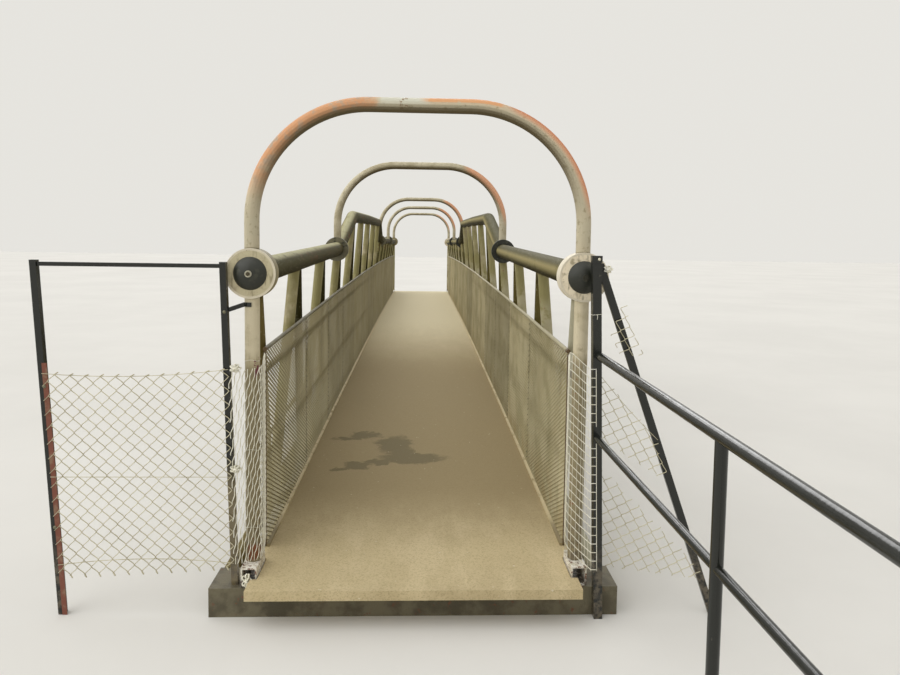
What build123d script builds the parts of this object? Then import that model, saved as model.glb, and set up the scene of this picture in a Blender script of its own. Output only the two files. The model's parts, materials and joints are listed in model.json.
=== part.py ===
from build123d import *
from math import cos, radians, tan
import os

os.makedirs("parts", exist_ok=True)

# Tubular steel pony-truss footbridge, millimetres. X across, Y along from the near end, Z up from
# the level the bearing sills stand on. The near end frame stands at Y = 0.

# Lengths and levels
BAY = 1219.2
MODULE_BAYS = 3
MODULES = 5
MODULE = BAY * MODULE_BAYS
LAST = MODULE_BAYS * MODULES
LENGTH = BAY * LAST
RISES = (0, 53, 80, 80, 53, 0)
DECK = 200
SIDES = (-1, 1)

# Trusses: both chords lie in one plane that leans outwards at its foot
HEAD_X, HEAD_Z = 845, DECK + 1543
FOOT_X, FOOT_Z = 1000, 105
RAISED_Z = DECK + 1894
RAISED_FIRST, RAISED_LAST = 4, 8
LEAN = (FOOT_X - HEAD_X) / (HEAD_Z - FOOT_Z)
CHORD_R = 69.85
FOOT_CHORD_R = 44.45
POST_R = 38.05
DIAGONAL_R = 30.15
NODE_SHIFT = 85
TUBE_SIDES = 16
BEND_R = 350
SPLICE_OFFSET = 70

# Overhead frames
HOOP_R = 38.05
HOOP_BEND = 590
CROWN_Z = DECK + 2398
HOOP_NODES = (0, 3, 9, 12, 15)

# End bosses with their domed caps
BOSS_R, BOSS_FRONT, BOSS_BACK = 127, 46, 40
SEAM_R, SEAM_WIDTH, SEAM_DEPTH = 119, 2.5, 3
DOME_R, DOME_RISE = 84, 38
DOME_SPHERE = (DOME_R**2 + DOME_RISE**2) / (2 * DOME_RISE)
WASHER_R, WASHER_THICK, SPOT_DEPTH = 17, 5, 1.5
CAP_HEX_R, CAP_HEX_THICK = 11, 9

# Splice flanges
FLANGE_R, FLANGE_THICK = 120, 12
FLANGE_BOLTS, FLANGE_PCR = 6, 95
HEX_R, HEX_THICK = 17, 11

# Bearings
SILL_HALF = FOOT_X + FOOT_CHORD_R
SILL_FRONT, SILL_BACK, SILL_TOP = 120, 110, DECK - 50
SHOE_WIDTH, SHOE_FRONT, SHOE_BACK, SHOE_TOP, SHOE_WALL = 80, 110, 90, DECK + 50, 8

# Deck
DECK_THICK = DECK - SILL_TOP
DECK_HALF, DECK_NOTCH, DECK_NOSE = 855, 800, 835
NOSE_OUT, NOTCH_FRONT, NOTCH_BACK = 250, 125, 105
BEAM_HALF, BEAM_DEPTH, COPE = 30, 90, 8
KERB_WIDTH, KERB_GAP, KERB_RISE = 18, 2, 15
SPLIT = 4

# Parapets
MESH_THICK, MESH_BORDER = 3, 30
MESH_COLUMNS, MESH_ROWS = 9, 3
PANEL_START = 245
PANEL_FIRST = 426
MESH_BOTTOM, RAIL_Z, RAIL_R = 5, 1110, 12
BACK_RAILS = (115, 525, 980)
BACK_RAIL_WIDTH, BACK_RAIL_THICK = 40, 8
BAR_WIDTH, BAR_THICK = 25, 4

# The top rails are welded to the inner side of the posts, and the mesh hangs below them
MESH_X = FOOT_X - LEAN * (DECK + RAIL_Z - FOOT_Z) - POST_R * (1 + LEAN**2)**0.5 - RAIL_R
KERB_OUT = MESH_X - MESH_THICK / 2 - KERB_GAP
KERB_IN = KERB_OUT - KERB_WIDTH

# Guard frame beside the near left corner, just in front of the end bosses
GUARD_HALF = 16
GUARD_Y = -BOSS_FRONT - GUARD_HALF - 4
GUARD_TOP, GUARD_BAR = DECK + 1600, 20
GUARD_OUTER = (-1800, -1892)
GUARD_INNER = (-922, -972)
GROUND = SILL_TOP
PRIMER_WIDTH, PRIMER_THICK, PRIMER_LAP, PRIMER_TOP = 24, 4, 10, DECK + 1090
LINK_THICK = 4
LINK_BOTTOM, LINK_TOP = DECK + 48, DECK + 1030
WRAP_FRONT, WRAP_START, WRAP_GAP = 52, 28, 6
WRAP_BOTTOM, WRAP_TOP = DECK + 60, DECK + 1095
WRAP_LAP_LEFT, WRAP_LAP_RIGHT, WRAP_TURN = 930, 884, 868

# Guard post, stay and approach rail beside the near right corner
END_POST = (932, 879)
END_POST_HALF, END_POST_TOP = 22, DECK + 1658
END_POST_Y = -SILL_FRONT - END_POST_HALF
TAB_WIDE, TAB_THICK, TAB_TALL = 26, 6, 34
STAY_TOP_X, STAY_FOOT_X, STAY_TOP, STAY_HALF = 905, 1549, DECK + 1620, 20
RAIL_X, RAIL_HIGH, RAIL_LOW = 905, DECK + 1158, DECK + 742
RAIL_HIGH_R, RAIL_LOW_R, RAIL_POST_R = 21.2, 16.85, 20.7
RAIL_BAY, RAIL_BAYS, RAIL_TAIL = 1524, 2, 60
RAIL_SPREAD, RAIL_FALL = 0.027, 0.013


def rise(y):
    """Camber of the bridge at a distance along it: straight modules that meet at the splices."""
    part = min(max(y / MODULE, 0), MODULES)
    low = min(int(part), MODULES - 1)
    return RISES[low] + (RISES[low + 1] - RISES[low]) * (part - low)


def in_truss(side, y, level):
    """Point of the leaning truss plane at a distance along the bridge and a level before camber."""
    return Vector(side * (FOOT_X - LEAN * (level - FOOT_Z)), y, level + rise(y))


def head_level(n):
    return RAISED_Z if RAISED_FIRST <= n <= RAISED_LAST else HEAD_Z


def head(side, n, shift=0):
    return in_truss(side, n * BAY + shift, head_level(n))


def foot(side, n, shift=0):
    return in_truss(side, n * BAY + shift, FOOT_Z)


def rod(start, end, radius, mode=Mode.ADD):
    """Round bar or tube from one point to another."""
    run = end - start
    with Locations(Plane(origin=start, z_dir=run).location):
        Cylinder(radius, run.length, align=(Align.CENTER, Align.CENTER, Align.MIN), mode=mode)


def bent_run(points, radius):
    """Centre line through the points with every corner rounded to the radius."""
    last = points[0]
    for before, corner, after in zip(points, points[1:], points[2:]):
        back, on = (before - corner).normalized(), (after - corner).normalized()
        turn = 180 - back.get_angle(on)
        if turn < 0.01:
            continue
        half = radians(turn) / 2
        cut = radius * tan(half)
        start, end = corner + back * cut, corner + on * cut
        centre_way = (back + on).normalized()
        middle = corner + centre_way * (radius / cos(half) - radius)
        Line(last, start)
        ThreePointArc(start, middle, end)
        last = end
    Line(last, points[-1])


def strip(y0, y1, low, high):
    """Side view of a strip that follows the camber: corners at both ends and at every splice."""
    stops = [y0] + [m * MODULE for m in range(MODULES + 1) if y0 < m * MODULE < y1] + [y1]
    return [(y, high + rise(y)) for y in stops] + [(y, low + rise(y)) for y in reversed(stops)]


def spans(start, end):
    """Module lengths of a strip, parted by a small gap at every splice."""
    stops = [start] + [m * MODULE for m in range(1, MODULES)] + [end]
    return [(a + (SPLIT / 2 if a != start else 0), b - (SPLIT / 2 if b != end else 0))
            for a, b in zip(stops, stops[1:])]


def hoop_run(y):
    z = CROWN_Z + rise(y)
    return [Vector(-HEAD_X, y, HEAD_Z + rise(y)), Vector(-HEAD_X, y, z),
            Vector(HEAD_X, y, z), Vector(HEAD_X, y, HEAD_Z + rise(y))]


def ends():
    """Both ends of the bridge: the distance along it and the way that points outwards."""
    return ((0, -1), (LENGTH, 1))


# End bosses: drums on the ends of the chords, each with a fine seam round its face
with BuildPart() as end_bosses:
    for y, out in ends():
        for side in SIDES:
            centre = Vector(side * HEAD_X, y, HEAD_Z)
            front, back = centre + Vector(0, out * BOSS_FRONT), centre - Vector(0, out * BOSS_BACK)
            rod(back, front, BOSS_R)
            with BuildSketch(Plane(origin=front, z_dir=(0, -out, 0))):
                Circle(SEAM_R + SEAM_WIDTH)
                Circle(SEAM_R, mode=Mode.SUBTRACT)
            extrude(amount=SEAM_DEPTH, mode=Mode.SUBTRACT)
end_bosses.part.label = "end_bosses"
export_step(end_bosses.part, "parts/end_bosses.step")

# Domed caps with a flat spot for the washer
with BuildPart() as dome_caps:
    for y, out in ends():
        for side in SIDES:
            face = Vector(side * HEAD_X, y + out * BOSS_FRONT, HEAD_Z)
            apex = face + Vector(0, out * DOME_RISE)
            with BuildSketch(Plane(origin=face, x_dir=(0, 0, 1), z_dir=(-out, 0, 0))):
                with BuildLine():
                    Line((0, 0), (DOME_R, 0))
                    RadiusArc((DOME_R, 0), (0, DOME_RISE), DOME_SPHERE * (-1))
                    Line((0, DOME_RISE), (0, 0))
                make_face()
            revolve(axis=Axis(face, (0, out, 0)))
            rod(apex - Vector(0, out * SPOT_DEPTH), apex, WASHER_R, mode=Mode.SUBTRACT)
dome_caps.part.label = "dome_caps"
export_step(dome_caps.part, "parts/dome_caps.step")

with BuildPart() as cap_bolts:
    for y, out in ends():
        for side in SIDES:
            spot = Vector(side * HEAD_X, y + out * (BOSS_FRONT + DOME_RISE - SPOT_DEPTH), HEAD_Z)
            rod(spot, spot + Vector(0, out * WASHER_THICK), WASHER_R)
            with BuildSketch(Plane(origin=spot + Vector(0, out * WASHER_THICK), z_dir=(0, out, 0))):
                RegularPolygon(CAP_HEX_R, 6)
            extrude(amount=CAP_HEX_THICK)
cap_bolts.part.label = "cap_bolts"
export_step(cap_bolts.part, "parts/cap_bolts.step")


# Top chords: each run starts and ends at a splice or in a boss
def chord_stops(first, last):
    before = first * BAY + (0 if first == 0 else splice_shift(first))
    after = last * BAY + (0 if last == LAST else splice_shift(last))
    return before, after


def splice_shift(n):
    """Splices stand just clear of the overhead frame, on the side of the nearer end."""
    return -SPLICE_OFFSET if n < LAST / 2 else SPLICE_OFFSET


def chord_points(side, first, last):
    before, after = chord_stops(first, last)
    corners = [n for n in range(1, LAST) if before < n * BAY < after
               and (n % MODULE_BAYS == 0 or n in (RAISED_FIRST, RAISED_LAST))]
    return ([in_truss(side, before, HEAD_Z)] + [head(side, n) for n in corners]
            + [in_truss(side, after, HEAD_Z)])


CHORD_RUNS = ((0, 3), (3, 9), (9, 12), (12, 15))
chords = []
for number, (first, last) in enumerate(CHORD_RUNS, 1):
    with BuildPart() as chord:
        for side in SIDES:
            points = chord_points(side, first, last)
            with BuildLine() as run:
                bent_run(points, BEND_R)
            with BuildSketch(Plane(origin=points[0], z_dir=points[1] - points[0])):
                Circle(CHORD_R)
            sweep()
        add(end_bosses.part, mode=Mode.SUBTRACT)
    chord.part.label = f"top_chord_{number}"
    export_step(chord.part, f"parts/top_chord_{number}.step")
    chords.append(chord.part)

# Bearing sills under both ends
with BuildPart() as end_sills:
    for y, out in ends():
        with Locations((0, y + out * (SILL_FRONT - SILL_BACK) / 2, 0)):
            Box(2 * SILL_HALF, SILL_FRONT + SILL_BACK, SILL_TOP,
                align=(Align.CENTER, Align.CENTER, Align.MIN))
end_sills.part.label = "end_sills"
export_step(end_sills.part, "parts/end_sills.step")

# Bottom chords, butted against the sills
with BuildPart() as bottom_chords:
    for side in SIDES:
        stops = [SILL_BACK - COPE] + [m * MODULE for m in range(1, MODULES)] + [LENGTH - SILL_BACK + COPE]
        points = [in_truss(side, y, FOOT_Z) for y in stops]
        with BuildLine() as run:
            bent_run(points, BEND_R)
        with BuildSketch(Plane(origin=points[0], x_dir=(1, 0, 0), z_dir=points[1] - points[0])):
            RegularPolygon(FOOT_CHORD_R, TUBE_SIDES)
        sweep()
    add(end_sills.part, mode=Mode.SUBTRACT)
bottom_chords.part.label = "bottom_chords"
export_step(bottom_chords.part, "parts/bottom_chords.step")


# Splice flanges in pairs, square to the chord where they sit
def splice_plane(side, n):
    y = n * BAY + splice_shift(n)
    here, on = in_truss(side, y, HEAD_Z), in_truss(side, y + 1, HEAD_Z)
    return Plane(origin=here, z_dir=on - here)


SPLICES = [(side, n) for side in SIDES for n in (3, 9, 12)]
for name, way in (("splice_flanges_near", -1), ("splice_flanges_far", 1)):
    with BuildPart() as flanges:
        for side, n in SPLICES:
            with BuildSketch(splice_plane(side, n)):
                Circle(FLANGE_R)
                Circle(CHORD_R, mode=Mode.SUBTRACT)
            extrude(amount=way * FLANGE_THICK)
    flanges.part.label = name
    export_step(flanges.part, f"parts/{name}.step")

with BuildPart() as splice_bolts:
    for side, n in SPLICES:
        for way in (-1, 1):
            seat = splice_plane(side, n).offset(way * FLANGE_THICK)
            with BuildSketch(seat):
                with PolarLocations(FLANGE_PCR, FLANGE_BOLTS, start_angle=180 / FLANGE_BOLTS):
                    RegularPolygon(HEX_R, 6)
            extrude(amount=way * HEX_THICK)
splice_bolts.part.label = "splice_bolts"
export_step(splice_bolts.part, "parts/splice_bolts.step")

# Overhead frames: one bent tube each, its legs coped over the bosses or the chords
for number, n in enumerate(HOOP_NODES, 1):
    y = n * BAY
    with BuildPart() as hoop:
        points = hoop_run(y)
        with BuildLine() as run:
            bent_run(points, HOOP_BEND)
        with BuildSketch(Plane(origin=points[0], z_dir=(0, 0, 1))):
            RegularPolygon(HOOP_R, TUBE_SIDES)
        sweep()
        add(end_bosses.part, mode=Mode.SUBTRACT)
        for body in chords:
            add(body, mode=Mode.SUBTRACT)
    hoop.part.label = f"hoop_{number}"
    export_step(hoop.part, f"parts/hoop_{number}.step")

# Hollow bearing shoes, open towards the ends
with BuildPart() as bearing_shoes:
    for y, out in ends():
        for side in SIDES:
            middle = (side * HEAD_X, y + out * (SHOE_FRONT - SHOE_BACK) / 2, (SILL_TOP + SHOE_TOP) / 2)
            long = SHOE_FRONT + SHOE_BACK
            tall = SHOE_TOP - SILL_TOP
            with Locations(middle):
                Box(SHOE_WIDTH, long, tall)
                Box(SHOE_WIDTH - 2 * SHOE_WALL, long, tall - 2 * SHOE_WALL, mode=Mode.SUBTRACT)
bearing_shoes.part.label = "bearing_shoes"
export_step(bearing_shoes.part, "parts/bearing_shoes.step")

# End posts from the shoes up to the bosses
with BuildPart() as end_posts:
    for y, out in ends():
        for side in SIDES:
            with BuildSketch(Plane(origin=(side * HEAD_X, y, SHOE_TOP), z_dir=(0, 0, 1))):
                RegularPolygon(HOOP_R, TUBE_SIDES)
            extrude(amount=HEAD_Z - SHOE_TOP)
    add(end_bosses.part, mode=Mode.SUBTRACT)
end_posts.part.label = "end_posts"
export_step(end_posts.part, "parts/end_posts.step")

# Posts and diagonals of each truss, coped to the chords, the diagonals set clear of the posts. A tube
# that repeats has a few flat sides in place of the circle, one corner line facing the walkway.
trusses = []
for side, name in zip(SIDES, ("left", "right")):
    inward = Vector(-side, 0, -LEAN).normalized()
    with BuildPart() as posts:
        for n in range(1, LAST):
            run = head(side, n) - foot(side, n)
            with BuildSketch(Plane(origin=foot(side, n), x_dir=inward, z_dir=run)):
                RegularPolygon(POST_R, TUBE_SIDES)
            extrude(amount=run.length)
        for body in chords:
            add(body, mode=Mode.SUBTRACT)
        add(bottom_chords.part, mode=Mode.SUBTRACT)
    posts.part.label = f"posts_{name}"
    export_step(posts.part, f"parts/posts_{name}.step")
    with BuildPart() as diagonals:
        for n in range(LAST):
            falling = n <= LAST / 2
            low = foot(side, n + 1, -NODE_SHIFT) if falling else foot(side, n, NODE_SHIFT)
            top = head(side, n, NODE_SHIFT) if falling else head(side, n + 1, -NODE_SHIFT)
            with BuildSketch(Plane(origin=low, x_dir=inward, z_dir=top - low)):
                RegularPolygon(DIAGONAL_R, TUBE_SIDES)
            extrude(amount=(top - low).length)
        for body in chords:
            add(body, mode=Mode.SUBTRACT)
        add(bottom_chords.part, mode=Mode.SUBTRACT)
    diagonals.part.label = f"diagonals_{name}"
    export_step(diagonals.part, f"parts/diagonals_{name}.step")
    trusses += [posts.part, diagonals.part]

# Deck in module lengths, notched round the bearing shoes
decks = []
for m in range(MODULES):
    near, far = m * MODULE, (m + 1) * MODULE
    start = near - NOSE_OUT if m == 0 else near
    end = far + NOSE_OUT if m == MODULES - 1 else far
    wide = [(near + NOTCH_BACK if m == 0 else near, far - NOTCH_BACK if m == MODULES - 1 else far)]
    with BuildPart() as deck:
        with BuildSketch(Plane.YZ):
            with BuildLine():
                Polyline(*strip(start, end, SILL_TOP, DECK), close=True)
            make_face()
        extrude(amount=DECK_NOTCH, both=True)
        with BuildSketch(Plane.YZ):
            with BuildLine():
                Polyline(*strip(*wide[0], SILL_TOP, DECK), close=True)
            make_face()
        extrude(amount=DECK_HALF, both=True)
        for y, out in ends():
            if start < y + out * NOSE_OUT / 2 < end:
                with Locations((0, y + out * (NOSE_OUT + NOTCH_FRONT) / 2, SILL_TOP)):
                    Box(2 * DECK_NOSE, NOSE_OUT - NOTCH_FRONT, DECK_THICK,
                        align=(Align.CENTER, Align.CENTER, Align.MIN))
    deck.part.label = f"deck_{m + 1}"
    export_step(deck.part, f"parts/deck_{m + 1}.step")
    decks.append(deck.part)

# Cross beams between the bottom chords, shaped to the underside of the deck
with BuildPart() as cross_beams:
    for n in range(1, LAST):
        seat = foot(1, n)
        with Locations((0, seat.Y, seat.Z)):
            Box(2 * (seat.X - FOOT_CHORD_R + COPE), 2 * BEAM_HALF, BEAM_DEPTH)
    add(bottom_chords.part, mode=Mode.SUBTRACT)
    for body in decks + trusses:
        add(body, mode=Mode.SUBTRACT)
cross_beams.part.label = "cross_beams"
export_step(cross_beams.part, "parts/cross_beams.step")

# Kerb strips along both edges of the deck
with BuildPart() as kerbs:
    for side in SIDES:
        for y0, y1 in spans(PANEL_START, LENGTH - PANEL_START):
            with BuildSketch(Plane.YZ.offset(side * (KERB_IN + KERB_OUT) / 2)):
                with BuildLine():
                    Polyline(*strip(y0, y1, DECK, DECK + KERB_RISE), close=True)
                make_face()
            extrude(amount=(KERB_OUT - KERB_IN) / 2, both=True)
kerbs.part.label = "kerbs"
export_step(kerbs.part, "parts/kerbs.step")

# Parapet: top rails, flat rails behind and mesh sheets, all on the inner side of the posts
with BuildPart() as top_rails:
    for side in SIDES:
        for y0, y1 in spans(PANEL_START, LENGTH - PANEL_START):
            z = DECK + RAIL_Z
            rod(Vector(side * MESH_X, y0, z + rise(y0)), Vector(side * MESH_X, y1, z + rise(y1)), RAIL_R)
top_rails.part.label = "top_rails"
export_step(top_rails.part, "parts/top_rails.step")

with BuildPart() as back_rails:
    for side in SIDES:
        up, inward = Vector(-side * LEAN, 0, 1), Vector(-side, 0, -LEAN).normalized()
        for level in BACK_RAILS:
            for y0, y1 in spans(PANEL_START, LENGTH - PANEL_START):
                start, end = [in_truss(side, y, DECK + level) + inward * (POST_R + BACK_RAIL_THICK / 2)
                              for y in (y0, y1)]
                with BuildSketch(Plane(origin=start, x_dir=up, z_dir=end - start)):
                    Rectangle(BACK_RAIL_WIDTH, BACK_RAIL_THICK)
                extrude(amount=(end - start).length)
back_rails.part.label = "back_rails"
export_step(back_rails.part, "parts/back_rails.step")

# The sheets have a plain grid of openings in place of the fine diamond mesh
CELL_LONG, CELL_TALL = MODULE / MESH_COLUMNS, (RAIL_Z - MESH_BOTTOM) / MESH_ROWS


def cells(y0, y1):
    """Middles of the openings that fit into one sheet."""
    middles = [(column + 0.5) * CELL_LONG for column in range(MESH_COLUMNS * MODULES)]
    reach = CELL_LONG / 2 - MESH_BORDER
    return [(y, DECK + MESH_BOTTOM + (row + 0.5) * CELL_TALL + rise(y))
            for y in middles for row in range(MESH_ROWS) if y0 < y - reach and y + reach < y1]


meshes = []
for side, name in zip(SIDES, ("left", "right")):
    with BuildPart() as mesh:
        for y0, y1 in spans(PANEL_START, LENGTH - PANEL_START):
            with BuildSketch(Plane.YZ.offset(side * MESH_X)):
                with BuildLine():
                    Polyline(*strip(y0, y1, DECK + MESH_BOTTOM, DECK + RAIL_Z), close=True)
                make_face()
                with Locations(cells(y0, y1)):
                    Rectangle(CELL_LONG - MESH_BORDER, CELL_TALL - MESH_BORDER, mode=Mode.SUBTRACT)
            extrude(amount=MESH_THICK / 2, both=True)
        add(top_rails.part, mode=Mode.SUBTRACT)
    mesh.part.label = f"mesh_{name}"
    export_step(mesh.part, f"parts/mesh_{name}.step")
    meshes.append(mesh.part)

PANEL_EDGES = ([PANEL_START + BAR_WIDTH / 2] + [n * BAY + PANEL_FIRST for n in range(1, LAST - 1)]
               + [LENGTH - PANEL_START - BAR_WIDTH / 2])
with BuildPart() as mesh_bars:
    for side in SIDES:
        for y in PANEL_EDGES:
            x = side * (MESH_X + (MESH_THICK + BAR_THICK) / 2)
            with BuildSketch(Plane.YZ.offset(x)):
                with BuildLine():
                    Polyline(*strip(y - BAR_WIDTH / 2, y + BAR_WIDTH / 2, DECK, DECK + RAIL_Z), close=True)
                make_face()
            extrude(amount=BAR_THICK / 2, both=True)
    add(top_rails.part, mode=Mode.SUBTRACT)
mesh_bars.part.label = "mesh_bars"
export_step(mesh_bars.part, "parts/mesh_bars.step")


# Guard frame at the near left corner: two leaning posts and a bar between their heads
def lean_x(pair, z, top):
    """Across position of a leaning post, given where it stands at the ground and at its head."""
    return pair[0] + (pair[1] - pair[0]) * (z - GROUND) / (top - GROUND)


def leaning(pair, low, high, half, top):
    return [(lean_x(pair, low, top) - half, low), (lean_x(pair, low, top) + half, low),
            (lean_x(pair, high, top) + half, high), (lean_x(pair, high, top) - half, high)]


with BuildPart() as guard_frame:
    for pair, low in ((GUARD_OUTER, 0), (GUARD_INNER, SILL_TOP)):
        with BuildSketch(Plane.XZ.offset(-GUARD_Y)):
            with BuildLine():
                Polyline(*leaning(pair, low, GUARD_TOP, GUARD_HALF, GUARD_TOP), close=True)
            make_face()
        extrude(amount=GUARD_HALF, both=True)
    with BuildSketch(Plane.XZ.offset(-GUARD_Y)):
        with Locations(((GUARD_OUTER[1] + GUARD_INNER[1]) / 2, GUARD_TOP - GUARD_BAR)):
            Rectangle(GUARD_INNER[1] - GUARD_OUTER[1], GUARD_BAR)
    extrude(amount=GUARD_HALF / 2, both=True)
guard_frame.part.label = "guard_frame"
export_step(guard_frame.part, "parts/guard_frame.step")

with BuildPart() as guard_primer_bar:
    edges = [(lean_x(GUARD_OUTER, z, GUARD_TOP) + GUARD_HALF - PRIMER_LAP, z) for z in (0, PRIMER_TOP)]
    with BuildSketch(Plane.XZ.offset(GUARD_HALF - GUARD_Y)):
        with BuildLine():
            Polyline(*edges, *[(x + PRIMER_WIDTH, z) for x, z in reversed(edges)], close=True)
        make_face()
    extrude(amount=PRIMER_THICK)
guard_primer_bar.part.label = "guard_primer_bar"
export_step(guard_primer_bar.part, "parts/guard_primer_bar.step")

# The fabric hangs on the front of both posts, from the primed bar to the wrapped strip
LINK_FACE = GUARD_Y - GUARD_HALF - LINK_THICK / 2
with BuildPart() as guard_link:
    left = [lean_x(GUARD_OUTER, z, GUARD_TOP) + GUARD_HALF - PRIMER_LAP + PRIMER_WIDTH
            for z in (LINK_BOTTOM, LINK_TOP)]
    with BuildSketch(Plane.XZ.offset(-LINK_FACE)):
        with BuildLine():
            Polyline((left[0], LINK_BOTTOM), (-WRAP_LAP_LEFT, LINK_BOTTOM), (-WRAP_LAP_LEFT, LINK_TOP),
                     (left[1], LINK_TOP), close=True)
        make_face()
    extrude(amount=LINK_THICK / 2, both=True)
guard_link.part.label = "guard_link"
export_step(guard_link.part, "parts/guard_link.step")


# Wrapped mesh strips: from each guard post, in front of the end post, back to the parapet
def wrap_points(side, starts):
    inner = HEAD_X - HOOP_R - WRAP_GAP
    return [Vector(side * x, y) for x, y in starts + ((HEAD_X, -WRAP_FRONT), (inner, -WRAP_START),
                                                      (inner, HOOP_R), (MESH_X, PANEL_START))]


def ribbon(points, half):
    """Outline of a thin strip along a line, its corners mitred."""
    ways = [(b - a).normalized() for a, b in zip(points, points[1:])]
    ways = [ways[0]] + ways + [ways[-1]]
    edge = []
    for point, before, after in zip(points, ways, ways[1:]):
        mitre = (before + after).normalized()
        square = Vector(-mitre.Y, mitre.X) * (half / mitre.dot(after))
        edge.append((point + square, point - square))
    return [p for p, _ in edge] + [q for _, q in reversed(edge)]


LEFT_LAP = ((WRAP_LAP_LEFT, LINK_FACE), (HEAD_X, LINK_FACE))
POST_FACE = END_POST_Y - END_POST_HALF - LINK_THICK / 2
RIGHT_LAP = ((WRAP_LAP_RIGHT, POST_FACE), (WRAP_TURN, POST_FACE))
for side, name, laps in ((-1, "left", LEFT_LAP), (1, "right", RIGHT_LAP)):
    with BuildPart() as wrap:
        with BuildSketch(Plane.XY.offset(WRAP_BOTTOM)):
            with BuildLine():
                Polyline(*ribbon(wrap_points(side, laps), LINK_THICK / 2), close=True)
            make_face()
        extrude(amount=WRAP_TOP - WRAP_BOTTOM)
        for body in meshes:
            add(body, mode=Mode.SUBTRACT)
    wrap.part.label = f"wrap_{name}"
    export_step(wrap.part, f"parts/wrap_{name}.step")

# Guard post with its head tab, and the raking stay behind it
with BuildPart() as guard_post:
    with BuildSketch(Plane.XZ.offset(-END_POST_Y)):
        with BuildLine():
            Polyline(*leaning(END_POST, 0, END_POST_TOP, END_POST_HALF, END_POST_TOP), close=True)
        make_face()
    extrude(amount=END_POST_HALF, both=True)
    with Locations((END_POST[1], END_POST_Y - END_POST_HALF, END_POST_TOP)):
        Box(2 * TAB_WIDE, TAB_THICK, TAB_TALL, align=(Align.CENTER, Align.MAX, Align.MAX))
guard_post.part.label = "guard_post"
export_step(guard_post.part, "parts/guard_post.step")

with BuildPart() as guard_stay:
    with BuildSketch(Plane.XZ.offset(-END_POST_Y - END_POST_HALF)):
        with BuildLine():
            Polyline((STAY_FOOT_X - STAY_HALF, 0), (STAY_FOOT_X + STAY_HALF, 0),
                     (STAY_TOP_X + STAY_HALF, STAY_TOP), (STAY_TOP_X - STAY_HALF, STAY_TOP), close=True)
        make_face()
    extrude(amount=-STAY_HALF)
guard_stay.part.label = "guard_stay"
export_step(guard_stay.part, "parts/guard_stay.step")


# Approach handrail: two rails on tube posts, running out from the front of the guard post
def rail_point(y, level):
    run = END_POST_Y - END_POST_HALF - y
    return Vector(RAIL_X + RAIL_SPREAD * run, y, level - RAIL_FALL * run)


RAIL_START = END_POST_Y - END_POST_HALF
RAIL_END = -RAIL_BAYS * RAIL_BAY - RAIL_TAIL
with BuildPart() as approach_rails:
    for level, radius in ((RAIL_HIGH, RAIL_HIGH_R), (RAIL_LOW, RAIL_LOW_R)):
        rod(rail_point(0, level), rail_point(RAIL_END, level), radius)
    with Locations((0, RAIL_START, 0)):
        Box(4 * RAIL_X, -2 * RAIL_START, 4 * RAIL_HIGH, align=(Align.CENTER, Align.MIN, Align.CENTER),
            mode=Mode.SUBTRACT)
    for bay in range(1, RAIL_BAYS + 1):
        low = rail_point(-bay * RAIL_BAY, RAIL_LOW)
        rod(Vector(low.X, low.Y, 0), Vector(low.X, low.Y, RAIL_HIGH - 3 * RAIL_HIGH_R), RAIL_POST_R,
            mode=Mode.SUBTRACT)
approach_rails.part.label = "approach_rails"
export_step(approach_rails.part, "parts/approach_rails.step")

with BuildPart() as rail_posts:
    for bay in range(1, RAIL_BAYS + 1):
        top = rail_point(-bay * RAIL_BAY, RAIL_HIGH)
        rod(Vector(top.X, top.Y, 0), top, RAIL_POST_R)
    add(approach_rails.part, mode=Mode.SUBTRACT)
rail_posts.part.label = "rail_posts"
export_step(rail_posts.part, "parts/rail_posts.step")
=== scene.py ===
import json
from math import cos, radians, sin

import bpy
import numpy as np
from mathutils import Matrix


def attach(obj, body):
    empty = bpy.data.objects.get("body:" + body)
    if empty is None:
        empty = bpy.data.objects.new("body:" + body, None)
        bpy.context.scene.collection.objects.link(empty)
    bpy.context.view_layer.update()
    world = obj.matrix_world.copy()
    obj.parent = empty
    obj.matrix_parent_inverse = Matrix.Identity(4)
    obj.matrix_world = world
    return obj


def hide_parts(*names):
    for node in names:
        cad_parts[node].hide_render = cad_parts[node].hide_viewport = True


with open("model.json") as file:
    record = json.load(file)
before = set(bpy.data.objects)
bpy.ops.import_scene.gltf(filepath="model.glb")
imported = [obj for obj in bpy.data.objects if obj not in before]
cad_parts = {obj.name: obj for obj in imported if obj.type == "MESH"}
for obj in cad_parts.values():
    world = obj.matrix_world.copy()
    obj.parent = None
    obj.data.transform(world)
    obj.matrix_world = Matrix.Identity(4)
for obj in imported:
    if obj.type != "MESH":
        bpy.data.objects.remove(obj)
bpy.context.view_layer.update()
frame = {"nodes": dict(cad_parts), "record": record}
nodes = frame["nodes"]

# Sizes of the bridge that the dressing follows, in metres

BAY = 1.2192
MODULE = 3.6576
MODULES = 5
LENGTH = MODULE * MODULES
RISES = (0, 0.053, 0.080, 0.080, 0.053, 0)
DECK = 0.2
GROUND = 0.15
TUBE_CORNER = 0.009

HEAD_X = 0.845
HEAD_Z = 1.743
HOOP_R = 0.03805
HOOP_BEND = 0.590
CROWN_Z = 2.598
BOSS_FRONT = 0.046

MESH_X = 0.8358
PANEL_START = 0.245
PANEL_FIRST = 0.426
RAIL_Z = 1.11
RAIL_R = 0.012

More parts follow.
